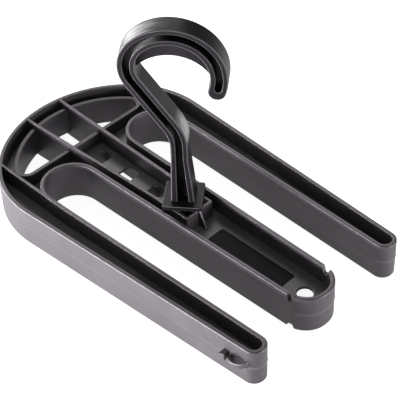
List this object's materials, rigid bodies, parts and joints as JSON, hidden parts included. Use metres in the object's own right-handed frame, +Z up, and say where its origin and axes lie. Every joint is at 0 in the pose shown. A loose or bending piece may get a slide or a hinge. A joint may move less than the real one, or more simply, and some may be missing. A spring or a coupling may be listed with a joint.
{
  "type": "drysuit hanger",
  "caption": "Three-armed moulded hanger that holds a drysuit by its boots, with a swivelling hook that locks into its middle.",
  "frame": {"origin": "middle of the box round the object, at the level its bottom rims stand on", "axes": "+X along the arms to their open ends, +Y across them, +Z up through the hook"},
  "size_m": [0.4188, 0.2446, 0.2589],
  "materials": {
    "frame": "satin black moulding",
    "hook": "satin black moulding",
    "badge": "smooth black, blank"
  },
  "bodies": {
    "frame": {"frame": "frame", "badge": "badge"},
    "hook": {"hook": "hook"}
  },
  "joints": [
    {"name": "hook_swivel", "type": "hinge", "parent": "frame", "child": "hook", "pos_m": [0.0115, 0.002, 0.0438], "axis": [0, 0, 1], "continuous": true}
  ]
}
